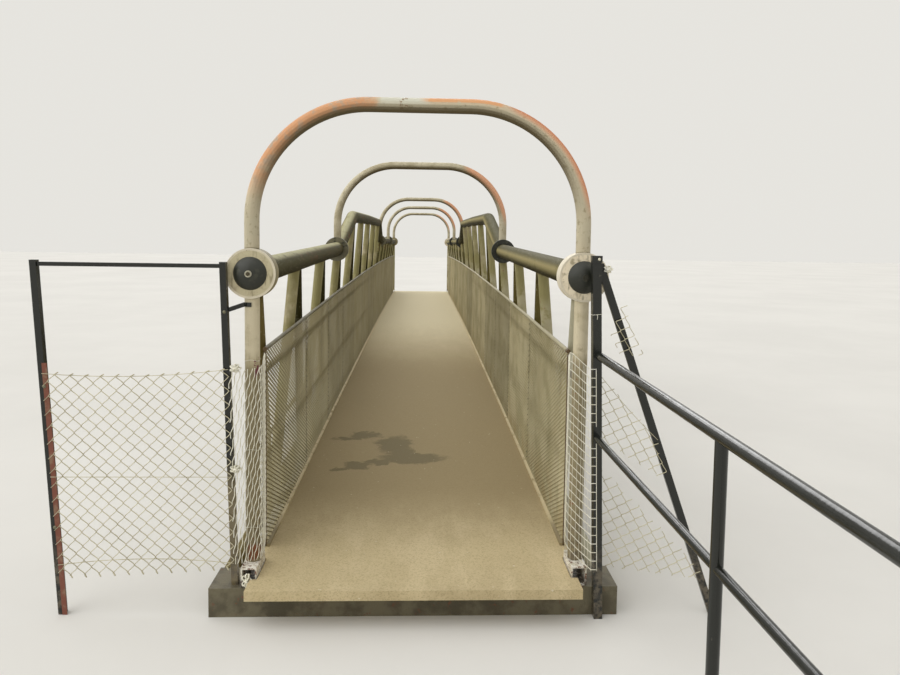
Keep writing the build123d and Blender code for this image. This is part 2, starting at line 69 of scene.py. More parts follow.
# Pairs say how far across a leaning piece stands, at its foot and at its head
GUARD_HALF = 0.016
GUARD_Y = -BOSS_FRONT - GUARD_HALF - 0.004
GUARD_OUTER = (-1.800, -1.892)
GUARD_TOP = DECK + 1.600
PRIMER_WIDTH = 0.024
PRIMER_THICK = 0.004
PRIMER_LAP = 0.010
WRAP_LOW = DECK + 0.062
WRAP_HIGH = DECK + 1.095
END_POST = (0.932, 0.879)
END_POST_Y = -0.142
END_POST_TOP = DECK + 1.658
STAY = (1.549, 0.905)
STAY_HEIGHT = DECK + 1.620

# Axes of the bridge by their place in a vector, and its sides by their sign across
X, Y, Z = 0, 1, 2
SIDES = ((-1, "left"), (1, "right"))


def rise(y):
    """Camber at a distance along the bridge, straight between the splices."""
    return np.interp(y, np.arange(MODULES + 1) * MODULE, RISES)


# Materials

def colour(code):
    """Linear colour of an sRGB hex value: c / 12.92 below 0.04045, ((c + 0.055) / 1.055) ** 2.4 above."""
    parts = [int(code[i:i + 2], 16) / 255 for i in (0, 2, 4)]
    return (*(c / 12.92 if c <= 0.04045 else ((c + 0.055) / 1.055) ** 2.4 for c in parts), 1)


def put(tree, kind, sockets, **settings):
    """Adds a node with its settings, and gives its sockets values or links."""
    node = tree.nodes.new("ShaderNode" + kind)
    for name, value in settings.items():
        setattr(node, name, value)
    for socket, value in sockets.items():
        if isinstance(value, bpy.types.NodeSocket):
            tree.links.new(value, node.inputs[socket])
        else:
            node.inputs[socket].default_value = value
    return node


def blotches(tree, place, size, low, high, detail=5, stretch=(1, 1, 1), shift=0.0):
    """Mask of blotches about size metres across: 0 below the noise level low, 1 above high. A shift of
    their own keeps the patterns of one material apart."""
    vector = put(tree, "Mapping", {"Vector": place, "Scale": stretch, "Location": (shift,) * 3})
    cloud = put(tree, "TexNoise", {"Vector": vector.outputs[0], "Scale": 1 / size, "Detail": detail,
                                   "Roughness": 0.62})
    return put(tree, "MapRange", {"Value": cloud.outputs["Fac"], "From Min": low, "From Max": high},
               interpolation_type="SMOOTHSTEP").outputs[0]


def grain(tree, place, size):
    """Unevenness of a coat of paint, drawn at 4 to 7 mm, coarser than real, as finer wouldn't show."""
    return blotches(tree, place, size, 0.3, 0.7, detail=3)


def along(tree, place, axis, start, end):
    """Mask that grows from 0 at start to 1 at end along one axis of the bridge."""
    value = put(tree, "SeparateXYZ", {0: place}).outputs[axis]
    return put(tree, "MapRange", {"Value": value, "From Min": start, "From Max": end},
               interpolation_type="SMOOTHSTEP").outputs[0]


def band(tree, place, axis, low, high, soft):
    """Mask that is 1 between two places on one axis and fades out over the soft distance beyond them."""
    rising = along(tree, place, axis, low - soft, low)
    falling = along(tree, place, axis, high + soft, high)
    return overlap(tree, rising, falling)


def left_side(tree, place):
    """Mask of the left half of the bridge, changing over the middle of the walkway."""
    return along(tree, place, X, 0.2, -0.2)


def right_side(tree, place):
    """Mask of the right half of the bridge, changing over the middle of the walkway."""
    return along(tree, place, X, -0.2, 0.2)


def round_line(tree, place, x, z, start, end, grade="SMOOTHSTEP"):
    """Mask that grows from 0 to 1 between two distances from a line along the bridge, at x and z."""
    local = put(tree, "Mapping", {"Vector": place, "Scale": (1, 0, 1), "Location": (-x, 0, -z)})
    reach = put(tree, "VectorMath", {0: local.outputs[0]}, operation="LENGTH").outputs["Value"]
    return put(tree, "MapRange", {"Value": reach, "From Min": start, "From Max": end},
               interpolation_type=grade).outputs[0]


def overlap(tree, *masks):
    """Product of masks."""
    result = masks[0]
    for mask in masks[1:]:
        result = put(tree, "Math", {0: result, 1: mask}, operation="MULTIPLY").outputs[0]
    return result


def coats(tree, base, *layers):
    """Base colour with each (colour, mask) layer laid over it in turn."""
    below = colour(base)
    for over, mask in layers:
        below = put(tree, "Mix", {0: mask, 6: below, 7: colour(over)}, data_type="RGBA").outputs[2]
    return below


def facing(tree, axis, start, end, corner=TUBE_CORNER):
    """Mask by the way the surface, with its corners smoothed, faces along one axis of the bridge."""
    smooth = put(tree, "Bevel", {"Radius": corner}, samples=4).outputs["Normal"]
    return along(tree, smooth, axis, start, end)


def ragged(tree, place, size, reach):
    """Coordinates shaken in plan by up to half of reach, so that shapes drawn in them get ragged edges."""
    noise = put(tree, "TexNoise", {"Vector": place, "Scale": 1 / size, "Detail": 5.0}).outputs["Color"]
    shake = put(tree, "VectorMath", {0: noise, 1: (0.5, 0.5, 0.5)}, operation="SUBTRACT").outputs[0]
    return put(tree, "VectorMath", {0: shake, 1: (reach, reach, 0), 2: place},
               operation="MULTIPLY_ADD").outputs[0]


def lobe(tree, place, centre, radii):
    """Mask of an ellipse seen from above, its radii given across and along: 1 inside, fading at its rim."""
    local = put(tree, "Mapping", {"Vector": place, "Scale": (1 / radii[0], 1 / radii[1], 0),
                                  "Location": (-centre[0] / radii[0], -centre[1] / radii[1], 0)})
    reach = put(tree, "VectorMath", {0: local.outputs[0]}, operation="LENGTH").outputs["Value"]
    return put(tree, "MapRange", {"Value": reach, "From Min": 1.3, "From Max": 0.75},
               interpolation_type="SMOOTHSTEP").outputs[0]


def finish(name, build, **constants):
    """Material with one Principled shader: build links its sockets, constants are the same all over."""
    material = bpy.data.materials.new(name)
    material.use_nodes = True
    tree = material.node_tree
    tree.nodes.clear()
    place = put(tree, "TexCoord", {}).outputs["Object"]
    values = {key.replace("_", " "): value for key, value in constants.items()}
    shader = put(tree, "BsdfPrincipled", {**values, **build(tree, place)})
    put(tree, "OutputMaterial", {"Surface": shader.outputs[0]})
    return material


def surface(tree, tint, rough, height, depth, corner=0.0):
    """Colour, a roughness between two values by the height pattern, and a bump of that depth in metres
    over the smoothed corners of the tubes' flat sides."""
    grade = put(tree, "MapRange", {"Value": height, "To Min": rough[0], "To Max": rough[1]}).outputs[0]
    relief = {"Height": height, "Distance": depth, "Strength": 1.0}
    if corner:
        relief["Normal"] = put(tree, "Bevel", {"Radius": corner}, samples=4).outputs[0]
    bump = put(tree, "Bump", relief).outputs[0]
    return {"Base Color": tint, "Roughness": grade, "Normal": bump}


def algae_on_old_paint(tree, place):
    """Old pale-grey paint on the chords and diagonals under an olive film of algae, with bare grey patches.
    Painted shade darkens its undersides, the diagonals below chord level and the walkway's side of the left
    truss, and painted light makes that truss pale where it faces up. It has brown rust stains farther along
    the left chord. The right chord has painted light in blotches and a dark olive crown deepened by painted
    shade, its undersides have lighter painted shade, and painted light makes the near diagonals paler, most
    on the right."""
    left = left_side(tree, place)
    right = right_side(tree, place)
    chord = along(tree, place, Z, 1.60, 1.66)
    # Painted shade on the diagonals below chord level
    below = along(tree, place, Z, 1.66, 1.56)
    film = blotches(tree, place, 0.30, 0.42, 0.62)
    fine = blotches(tree, place, 0.045, 0.45, 0.66, shift=3)
    pale = blotches(tree, place, 0.22, 0.60, 0.68, shift=7)
    specks = blotches(tree, place, 0.012, 0.66, 0.72, detail=2, shift=1)
    # Painted shade on the walkway's side of the left truss
    painted_shade_left = overlap(tree, left, facing(tree, X, 0.25, 0.75))
    rusty = overlap(tree, left, chord, along(tree, place, Y, 0.8, 1.6),
                    blotches(tree, place, 0.07, 0.50, 0.66, stretch=(1, 0.4, 1), shift=11))
    # Painted light where the left truss faces up
    painted_light_left_top = overlap(tree, left, facing(tree, Z, 0.55, 0.95), blotches(tree, place, 0.12, 0.3, 0.5, shift=2))
    # Painted light in blotches on the right chord
    painted_light_right_chord = overlap(tree, right, chord, blotches(tree, place, 0.15, 0.22, 0.50, shift=12))
    # Dark olive film on the right chord's top, deepened by painted shade
    crown = overlap(tree, right, facing(tree, Z, 0.2, 0.7))
    # Painted shade on the undersides
    under = facing(tree, Z, 0.25, -0.6)
    # Lighter painted shade on the right's undersides below the chord
    painted_shade_under_right = overlap(tree, right, below, under)
    # Painted light on the near diagonals below the chord, palest on the right
    painted_light_near_diagonals = overlap(tree, along(tree, place, Y, 1.1, 0.9), below)
    painted_light_near_right_diagonal = overlap(tree, painted_light_near_diagonals, right)
    tint = coats(tree, "837d52", ("68633b", film), ("a7a380", pale), ("5c5833", fine), ("46411f", painted_shade_left),
                 ("5b4023", rusty), ("a9a47c", painted_light_left_top), ("958a5e", painted_light_right_chord), ("4f4a2a", crown),
                 ("4b4524", below), ("302c12", under), ("665c33", painted_shade_under_right), ("6d6038", painted_light_near_diagonals),
                 ("b3af98", painted_light_near_right_diagonal), ("b9b598", specks))
    return surface(tree, tint, (0.55, 0.78), grain(tree, place, 0.006), 0.0006, TUBE_CORNER)


# Across and up on the near left leg: dark red marks, and a rusty patch
MARKS_ACROSS, MARKS_UP = (-0.828, -0.812), (1.215, 1.31)
PATCH_ACROSS, PATCH_UP = (-0.86, -0.79), (0.27, 0.33)


def pale_paint_with_runs(tree, place):
    """Pale paint on posts and legs, chalked, with brown runs down it and rust freckles. Farther along it
    has a thin film of algae, bare in places on the right. The near legs are pale above the fabrics and
    darkened behind them by painted shade, and the left one has a rusty patch at its foot and dark red
    marks higher up."""
    near_legs = along(tree, place, Y, 0.12, 0.06)
    near_end = along(tree, place, Y, 0.10, 0.05)
    beyond = along(tree, place, Y, 0.3, 0.9)
    runs = blotches(tree, place, 0.035, 0.50, 0.66, stretch=(1, 1, 0.12))
    dirt = blotches(tree, place, 0.20, 0.46, 0.64, shift=5)
    rust = blotches(tree, place, 0.028, 0.66, 0.71, shift=9)
    foot = overlap(tree, along(tree, place, Z, 0.55, 0.22), blotches(tree, place, 0.05, 0.35, 0.6, shift=2))
    film = overlap(tree, beyond, blotches(tree, place, 0.25, 0.25, 0.55, shift=1))
    upper = overlap(tree, along(tree, place, Z, 1.28, 1.36), near_legs,
                    blotches(tree, place, 0.10, 0.22, 0.50, shift=4))
    # Painted shade on the near legs behind the fabrics
    behind = overlap(tree, along(tree, place, Z, 1.30, 1.24), near_legs)
    marks = overlap(tree, band(tree, place, X, *MARKS_ACROSS, 0.004), band(tree, place, Z, *MARKS_UP, 0.01),
                    near_end, blotches(tree, place, 0.03, 0.46, 0.52, shift=7))
    patch = overlap(tree, band(tree, place, X, *PATCH_ACROSS, 0.01), band(tree, place, Z, *PATCH_UP, 0.02),
                    near_end, blotches(tree, place, 0.03, 0.36, 0.50, shift=8))
    bare = overlap(tree, along(tree, place, X, 0.2, 0.4), along(tree, place, Z, 1.56, 1.40), beyond,
                   blotches(tree, place, 0.08, 0.36, 0.52, shift=6))
    tint = coats(tree, "bdb191", ("a0957a", dirt), ("857757", runs), ("cfc4a7", upper), ("978c6e", behind),
                 ("8d8659", film), ("aba384", bare), ("8a5a3e", rust), ("6d6353", foot), ("8a5a40", patch),
                 ("743f44", marks))
    return surface(tree, tint, (0.5, 0.72), grain(tree, place, 0.005), 0.0005, TUBE_CORNER)


def rusting_hoop_paint(tree, place):
    """Thin grey paint on bent tube, with salmon rust bloom on the outside of the right bends. The near
    hoop is worn to pale zinc on its crown, blooms on its left bend and beside the zinc too, and is
    rustiest along the outer edge of its right bend. Painted shade darkens the undersides of the hoops."""
    bend_x = HEAD_X - HOOP_BEND
    bend_z = CROWN_Z - HOOP_BEND
    near = along(tree, place, Y, 1.0, 0.5)
    high = along(tree, place, Z, 2.08, 2.30)
    torn = ragged(tree, place, 0.05, 0.10)
    cloud = blotches(tree, place, 0.16, 0.40, 0.62)
    mottled = blotches(tree, place, 0.030, 0.54, 0.72, shift=4)
    left = overlap(tree, along(tree, torn, X, -0.20, -0.26), high, near,
                   blotches(tree, place, 0.13, 0.24, 0.46, shift=6))
    greyed = overlap(tree, left, blotches(tree, place, 0.07, 0.48, 0.62, shift=3))
    outside = round_line(tree, place, bend_x, bend_z, HOOP_BEND - 0.006, HOOP_BEND + 0.022)
    right = overlap(tree, along(tree, place, X, 0.40, 0.52), along(tree, place, Z, 2.02, 2.22), outside,
                    blotches(tree, place, 0.10, 0.16, 0.40, shift=8))
    edge = round_line(tree, place, bend_x, bend_z, HOOP_BEND + 0.016, HOOP_BEND + 0.038)
    crest = overlap(tree, right, edge, near)
    top = overlap(tree, band(tree, torn, X, 0.05, 0.40, 0.05), facing(tree, Z, 0.10, 0.50), high, near,
                  blotches(tree, place, 0.06, 0.26, 0.42, shift=2))
    zinc = overlap(tree, band(tree, torn, X, -0.18, 0.02, 0.04), facing(tree, Z, -0.30, 0.45), high, near)
    drips = overlap(tree, band(tree, torn, X, -0.092, -0.082, 0.006), high, near,
                    blotches(tree, place, 0.012, 0.46, 0.56, shift=5))
    # Painted shade on the undersides
    under = facing(tree, Z, 0.25, -0.75)
    tint = coats(tree, "b0a689", ("cdc2a6", near), ("cac1a6", cloud), ("9f9476", mottled),
                 ("d69e72", left), ("b7a18a", greyed), ("d8a17d", right), ("cc7f54", crest),
                 ("d3d1bf", zinc), ("dfa473", top), ("8d7355", drips), ("5a4f36", under))
    return surface(tree, tint, (0.45, 0.75), grain(tree, place, 0.007), 0.0006, TUBE_CORNER)


def satin_black(tree, place):
    """Black paint on the fittings, satin, greyed by dust, and dustiest on the left flanges."""
    dust = blotches(tree, place, 0.05, 0.52, 0.72)
    plates = overlap(tree, left_side(tree, place), along(tree, place, Y, 1.0, 2.0),
                     blotches(tree, place, 0.05, 0.32, 0.50, shift=2))
    tint = coats(tree, "22241a", ("3d3e30", dust), ("6d6851", plates))
    return surface(tree, tint, (0.32, 0.5), grain(tree, place, 0.004), 0.0003)


def gloss_black(tree, place):
    """Thick brushed-on gloss black paint on the guards, with sags and scuffs, and earth on the feet and up
    the inner post."""
    scuffs = blotches(tree, place, 0.03, 0.68, 0.74)
    sags = blotches(tree, place, 0.05, 0.3, 0.7, detail=2, stretch=(1, 1, 0.4))
    foot = overlap(tree, along(tree, place, Z, 0.42, 0.2), blotches(tree, place, 0.04, 0.4, 0.6, shift=3))
    inner = overlap(tree, along(tree, place, Z, 0.84, 0.62), along(tree, place, X, -1.2, -1.1),
                    along(tree, place, X, -0.7, -0.8))
    tint = coats(tree, "1a1c17", ("4b4a40", scuffs), ("776c52", inner), ("5d5546", foot))
    return surface(tree, tint, (0.16, 0.27), sags, 0.0005)


def chalky_cream(tree, place):
    """Cream paint on the bosses gone to chalk, with grey runs and rust spots, paler round the rim of the
    face, where a painted highlight lies on its edge, and dirty on the left boss, most on its drum."""
    left = left_side(tree, place)
    runs = blotches(tree, place, 0.02, 0.5, 0.68, stretch=(1, 1, 0.2))
    stains = blotches(tree, place, 0.05, 0.5, 0.66, shift=4)
    rust = blotches(tree, place, 0.012, 0.66, 0.71, shift=7)
    # Paler rim round the face, with a painted highlight on its edge
    folded = put(tree, "VectorMath", {0: place}, operation="ABSOLUTE").outputs[0]
    rim = round_line(tree, folded, HEAD_X, HEAD_Z, 0.114, 0.118, grade="LINEAR")
    side = overlap(tree, left, along(tree, place, Y, -0.043, -0.037))
    tint = coats(tree, "ede0c4", ("c4ba98", left), ("ada183", stains), ("978c6f", runs), ("e2d9c2", rim),
                 ("8e8463", side), ("8b6a50", rust))
    return surface(tree, tint, (0.55, 0.75), grain(tree, place, 0.004), 0.0004)


def zinc_plate(tree, place):
    """Zinc-plated washers and bolt heads, dull, with a little white bloom. The bolt heads of the caps are
    stained brown, the right cap's bolt and washer are painted over, and the bolts lower down are duller."""
    bloom = blotches(tree, place, 0.008, 0.45, 0.65)
    foot = along(tree, place, Z, 1.72, 1.73)
    top = along(tree, place, Z, 1.77, 1.76)
    head = overlap(tree, along(tree, place, Y, -0.087, -0.089), foot, top)
    painted = overlap(tree, along(tree, place, X, 0.5, 0.6), foot, top)
    dull = along(tree, place, Z, 1.66, 1.64)
    tint = coats(tree, "c4c0aa", ("e0dcc8", bloom), ("514a3a", head), ("45443a", painted), ("77745f", dull))
    return surface(tree, tint, (0.35, 0.6), bloom, 0.0002)


def flaking_white(tree, place):
    """White paint brushed over the bearing shoes, flaked off to brown rust in spots, muddy low down."""
    flakes = blotches(tree, place, 0.013, 0.555, 0.60, detail=4)
    dirt = blotches(tree, place, 0.06, 0.45, 0.66, shift=3)
    low = overlap(tree, along(tree, place, Z, 0.21, 0.155), blotches(tree, place, 0.03, 0.3, 0.55, shift=5))
    tint = coats(tree, "ece8dc", ("c4bca6", dirt), ("744c36", flakes), ("5c5348", low))
    return surface(tree, tint, (0.5, 0.7), flakes, -0.0008)


def dull_sill_paint(tree, place):
    """Dull brown-grey paint and dirt on the sills and cross beams, with rust showing through."""
    dirt = blotches(tree, place, 0.15, 0.42, 0.64)
    rust = blotches(tree, place, 0.04, 0.60, 0.68, shift=4)
    tint = coats(tree, "6f6852", ("524c3a", dirt), ("6e4a36", rust))
    return surface(tree, tint, (0.6, 0.8), grain(tree, place, 0.006), 0.0006)


# Aggregate of the asphalt, and the middles and radii, across and along, of lobes that join into one stain
GRIT = 0.006
DAMP_LOBES = (((-0.45, 2.34), (0.12, 0.10)), ((-0.59, 2.24), (0.11, 0.05)), ((-0.19, 2.10), (0.13, 0.22)),
              ((-0.14, 1.89), (0.09, 0.17)), ((-0.06, 1.75), (0.25, 0.12)), ((-0.32, 1.67), (0.13, 0.06)),
              ((-0.46, 1.58), (0.09, 0.08)), ((-0.56, 1.50), (0.08, 0.03)))


def worn_asphalt(tree, place):
    """Fine yellowish grey asphalt walked smooth: aggregate grains, pale specks and a damp stain, browner
    in the middle stretch where it is trodden, deepened there by painted shade, and paler far off with
    painted light."""
    cells = put(tree, "TexVoronoi", {"Vector": place, "Scale": 1 / GRIT}).outputs["Color"]
    grit = put(tree, "SeparateXYZ", {0: cells}).outputs[0]
    broad = blotches(tree, place, 0.9, 0.38, 0.62, detail=6)
    bands = blotches(tree, place, 0.30, 0.42, 0.64, shift=4, stretch=(1.6, 0.5, 1))
    specks = blotches(tree, place, 0.03, 0.735, 0.76, detail=2, shift=6)
    # Trodden dirt in the middle stretch, deepened by painted shade
    trodden = overlap(tree, along(tree, place, Y, 0.1, 1.2), along(tree, place, Y, 9.5, 4.5))
    # Painted light on the far part of the deck
    far = along(tree, place, Y, 5, 10.5)
    torn = ragged(tree, ragged(tree, place, 0.13, 0.20), 0.035, 0.10)
    lobes = [lobe(tree, torn, centre, radii) for centre, radii in DAMP_LOBES]
    damp = lobes[0]
    for part in lobes[1:]:
        damp = put(tree, "Math", {0: damp, 1: part}, operation="MAXIMUM").outputs[0]
    dark_grit = put(tree, "MapRange", {"Value": grit, "From Min": 0.55, "From Max": 0.95,
                                       "To Max": 0.35}).outputs[0]
    tint = coats(tree, "c7b68e", ("bdac86", broad), ("cdbc95", bands), ("a08f6a", trodden),
                 ("e2d6b3", far), ("8f7f5c", dark_grit), ("7d7152", damp), ("d6ccb0", specks))
    return surface(tree, tint, (0.78, 0.92), grit, 0.0006)


def dusty_kerb(tree, place):
    """Pale tan painted edge strip, dusty, with earth in patches, and trodden brown at the near end."""
    earth = blotches(tree, place, 0.10, 0.50, 0.66)
    trodden = along(tree, place, Y, 0.7, 0.4)
    tint = coats(tree, "cfbf96", ("a5956f", earth), ("8c7e5c", trodden))
    return surface(tree, tint, (0.65, 0.85), earth, 0.0008)


def galvanised_wire(tree, place):
    """Galvanised wire of the fabrics: dull light zinc with darker runs."""
    dull = blotches(tree, place, 0.12, 0.42, 0.62)
    tint = coats(tree, "c9c2a6", ("b3ab8e", dull))
    return surface(tree, tint, (0.4, 0.6), dull, 0.0001)


def bright_wire(tree, place):
    """Newer galvanised wire of the wraps and ties, still bright, with chalky bloom."""
    bloom = blotches(tree, place, 0.02, 0.45, 0.65)
    tint = coats(tree, "e4e0cc", ("f2f0e4", bloom))
    return surface(tree, tint, (0.35, 0.55), bloom, 0.0001)


def dull_parapet_wire(tree, place):
    """Fine parapet wire, its zinc gone dull grey, browned by dust low down, each panel of its own tone, and
    darker on the left parapet with painted shade.
    """
    dull = blotches(tree, place, 0.35, 0.42, 0.62)
    low = overlap(tree, along(tree, place, Z, 0.60, 0.24), blotches(tree, place, 0.2, 0.35, 0.6, shift=3))
    # Painted shade on the left parapet
    left = left_side(tree, place)
    panels = put(tree, "Mapping", {"Vector": place, "Location": (0, -PANEL_FIRST / BAY, 0),
                                   "Scale": (1, 1 / BAY, 1)})
    run = put(tree, "SeparateXYZ", {0: panels.outputs[0]}).outputs[Y]
    number = put(tree, "Math", {0: run}, operation="FLOOR").outputs[0]
    tone = put(tree, "TexWhiteNoise", {"W": number}, noise_dimensions="1D").outputs["Value"]
    darker = put(tree, "MapRange", {"Value": tone, "From Min": 0.35, "To Max": 0.55}).outputs[0]
    tint = coats(tree, "c9bf9a", ("b5ab86", dull), ("b6a67c", low), ("978d69", left), ("857c5c", darker))
    return surface(tree, tint, (0.45, 0.65), dull, 0.0001)


def parapet_paint(tree, place):
    """Grey-green paint on the parapet's rails and bars, thin, with brown spots, bleached on the right top
    rail and brown on the near end bars."""
    worn = blotches(tree, place, 0.10, 0.48, 0.66)
    rust = blotches(tree, place, 0.02, 0.62, 0.69, shift=3)
    end = along(tree, place, Y, 0.30, 0.26)
    bleached = overlap(tree, along(tree, place, X, 0.2, 0.4), along(tree, place, Z, 1.28, 1.30))
    tint = coats(tree, "67614a", ("7b7356", worn), ("a9a183", bleached), ("6b5344", rust), ("5f4d36", end))
    return surface(tree, tint, (0.45, 0.65), grain(tree, place, 0.005), 0.0004)


def red_oxide(tree, place):
    """Red-oxide primer on the bar, matt, dusted grey."""
    dust = blotches(tree, place, 0.05, 0.5, 0.68)
    tint = coats(tree, "7a4533", ("8a6c56", dust))
    return surface(tree, tint, (0.6, 0.8), dust, 0.0004)


def black_tie_wire(tree, place):
    """Dark annealed tie wire, brown-black."""
    rust = blotches(tree, place, 0.02, 0.5, 0.65)
    tint = coats(tree, "33302e", ("54453b", rust))
    return surface(tree, tint, (0.5, 0.7), rust, 0.0001)


FINISHES = {
    "algae_steel": finish("algae_on_old_paint", algae_on_old_paint, Metallic=0.0, Specular_IOR_Level=0.1),
    "post_steel": finish("pale_paint_with_runs", pale_paint_with_runs, Metallic=0.0,
                         Specular_IOR_Level=0.3),
    "rusty_hoop": finish("rusting_hoop_paint", rusting_hoop_paint, Metallic=0.0, Specular_IOR_Level=0.3),
    "black_fittings": finish("satin_black_paint", satin_black, Metallic=0.0),
    "cream_boss": finish("chalky_cream_paint", chalky_cream, Metallic=0.0),
    "bolt_zinc": finish("zinc_plate", zinc_plate, Metallic=0.7),
    "white_shoe": finish("flaking_white_paint", flaking_white, Metallic=0.0),
    "sill_steel": finish("dull_sill_paint", dull_sill_paint, Metallic=0.0),
    "asphalt": finish("worn_asphalt", worn_asphalt, Metallic=0.0, Specular_IOR_Level=0.2),
    "kerb_edge": finish("dusty_kerb_paint", dusty_kerb, Metallic=0.0),
    "mesh_wire": finish("dull_parapet_wire", dull_parapet_wire, Metallic=0.3),
    "mesh_frame": finish("parapet_paint", parapet_paint, Metallic=0.0, Specular_IOR_Level=0.3),
    "guard_black": finish("gloss_black_paint", gloss_black, Metallic=0.0),
    "red_primer": finish("red_oxide_primer", red_oxide, Metallic=0.0),
    "chain_link": finish("galvanised_wire", galvanised_wire, Metallic=0.4),
}
TIE_WIRE = finish("annealed_tie_wire", black_tie_wire, Metallic=0.3)
BRIGHT_WIRE = finish("bright_galvanised_wire", bright_wire, Metallic=0.2)

for sub in frame["record"]["subparts"]:
    mesh = nodes[sub["node"]].data
    mesh.materials.clear()
    mesh.materials.append(FINISHES[sub["material_slot"]])


# Surfaces

def add(name, data):
    """Puts an object with its mesh, lamp or camera into the scene."""
    obj = bpy.data.objects.new(name, data)
    bpy.context.scene.collection.objects.link(obj)
    return obj


def piece(name, shells, material, replaced=(), smooth=True):
    """Puts (points, quads) shells into one mesh that rides on the bridge in place of the replaced solids."""
    starts = np.cumsum([0] + [len(points) for points, _ in shells[:-1]])
    points = np.concatenate([points for points, _ in shells])
    quads = np.concatenate([quads + start for (_, quads), start in zip(shells, starts)])
    mesh = bpy.data.meshes.new(name)
    mesh.vertices.add(len(points))
    mesh.vertices.foreach_set("co", points.astype(np.float32).ravel())
    mesh.loops.add(quads.size)
    mesh.loops.foreach_set("vertex_index", quads.astype(np.int32).ravel())
    mesh.polygons.add(len(quads))
    mesh.polygons.foreach_set("loop_start", np.arange(0, quads.size, 4, dtype=np.int32))
    mesh.polygons.foreach_set("use_smooth", np.full(len(quads), smooth))
    mesh.update(calc_edges=True)
    mesh.validate()
    mesh.materials.append(material)
    obj = add(name, mesh)
    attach(obj, "root")
    if replaced:
        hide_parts(*replaced)


def unit(vectors):
    """Vectors divided by their lengths."""
    return vectors / np.linalg.norm(vectors, axis=-1, keepdims=True)


def tubes(rings):
    """Skins over rings of points (wires, stations, sides, 3): quads from each ring to the next, and quads
    across the first and the last."""
    sides = rings.shape[2]
    index = np.arange(rings[..., 0].size).reshape(rings.shape[:3])
    on = np.roll(index, -1, axis=2)
    walls = np.stack([index[:, :-1], on[:, :-1], on[:, 1:], index[:, 1:]], axis=-1)
    cuts = [(i, i + 1, sides - 2 - i, sides - 1 - i) for i in range(sides // 2 - 1)]
    far = index[:, -1][:, cuts]
    near = index[:, 0][:, cuts][..., ::-1]
    quads = np.concatenate([part.reshape(-1, 4) for part in (walls, far, near)])
    return rings.reshape(-1, 3), quads


def wires(paths, radius, sides=4):
    """Round wires along paths (wires, stations, 3): corner a of a section is p + r (n cos a + b sin a),
    with n square to the path and to the axis that the path follows least, and b square to both."""
    paths = np.asarray(paths, float)
    way = unit(np.gradient(paths, axis=1))
    guide = np.eye(3)[np.abs(way).max(axis=1).argmin(axis=-1)][:, None]
    n = unit(np.cross(way, guide))
    b = np.cross(way, n)
    turn = 2 * np.pi * (np.arange(sides) + 0.5) / sides
    ring = n[:, :, None] * np.cos(turn)[:, None] + b[:, :, None] * np.sin(turn)[:, None]
    return tubes(paths[:, :, None] + radius * ring)


def straps(paths, wide, thick, lean):
    """Flat strands along paths (strands, stations, 3): corners p +- w wide / 2 +- m thick / 2, with w the
    lean direction made square to the path and m square to both."""
    way = unit(np.gradient(paths, axis=1))
    w = unit(lean - way * (way @ lean)[..., None])
    m = np.cross(way, w)
    corners = [w * (a * wide / 2) + m * (c * thick / 2) for a, c in ((-1, -1), (1, -1), (1, 1), (-1, 1))]
    return tubes(paths[:, :, None] + np.stack(corners, axis=2))


# Parapet fabric: expanded metal of flat strands in two crossing families, set like louvres

DIAMOND_LONG = 0.0508
DIAMOND_TALL = 0.0254
STRAND_WIDE = 0.0070
STRAND_THICK = 0.0016
STRAND_SHORTEST = 0.004
# Tilt of the strands from upright, by side
STRAND_TILT = {-1: radians(38), 1: radians(62)}
SPLICE_GAP = 0.002
FABRIC_LOW = DECK + 0.009
FABRIC_HIGH = DECK + RAIL_Z - 0.004


def lattice(start, end, low, high, pitch, slope):
    """Straight lines z = low + slope (y - s) across the rectangle start..end, low..high, for s spaced by
    pitch; gives both ends of each line that is long enough to weld."""
    reach = (high - low) / abs(slope)
    before, after = (reach, 0) if slope > 0 else (0, reach)
    first = np.arange(start - before, end + after, pitch) + pitch / 3
    z_near = np.clip(slope * (start - first) + low, low, high)
    z_far = np.clip(slope * (end - first) + low, low, high)
    y_near = first + (z_near - low) / slope
    y_far = first + (z_far - low) / slope
    keep = np.abs(y_far - y_near) > STRAND_SHORTEST
    return np.stack([np.stack([y_near, z_near], -1), np.stack([y_far, z_far], -1)], axis=1)[keep]


def parapet_strands(side):
    """Strands of one parapet, module by module: the rising and the falling lines of the lattice, lifted by
    the camber to z + rise(y), with their wide way tilted from upright, in over the walkway."""
    tilt = STRAND_TILT[side]
    lean = np.array([-side * sin(tilt), 0, cos(tilt)])
    slope = DIAMOND_TALL / DIAMOND_LONG
    shells = []
    for module in range(MODULES):
        start = module * MODULE + SPLICE_GAP if module else PANEL_START
        end = (module + 1) * MODULE - SPLICE_GAP if module < MODULES - 1 else LENGTH - PANEL_START
        for way in (1, -1):
            run = lattice(start, end, FABRIC_LOW, FABRIC_HIGH, DIAMOND_LONG, way * slope)
            x = np.full(run.shape[:2] + (1,), side * MESH_X)
            z = run[..., 1:] + rise(run[..., :1])
            paths = np.concatenate([x, run[..., :1], z], axis=-1)
            shells.append(straps(paths, STRAND_WIDE, STRAND_THICK, lean))
    return shells


for side, name in SIDES:
    piece(f"parapet_fabric_{name}", parapet_strands(side), FINISHES["mesh_wire"],
          [f"mesh_{name}"], smooth=False)

# Lacing at the joints of the parapet panels, and flat bars at their near ends

JOINTS = np.array([n * BAY + PANEL_FIRST for n in range(1, 14)])
LACE_TURNS = 26
LACE_LOW = DECK + 0.03
LACE_HIGH = DECK + RAIL_Z - 0.02
LACE_X = MESH_X - 0.001
LACE_DEEP = 0.0045
LACE_WIDE = 0.015
LACE_WIRE = 0.0013
END_BAR_WIDE = 0.012
END_BAR_THICK = 0.003


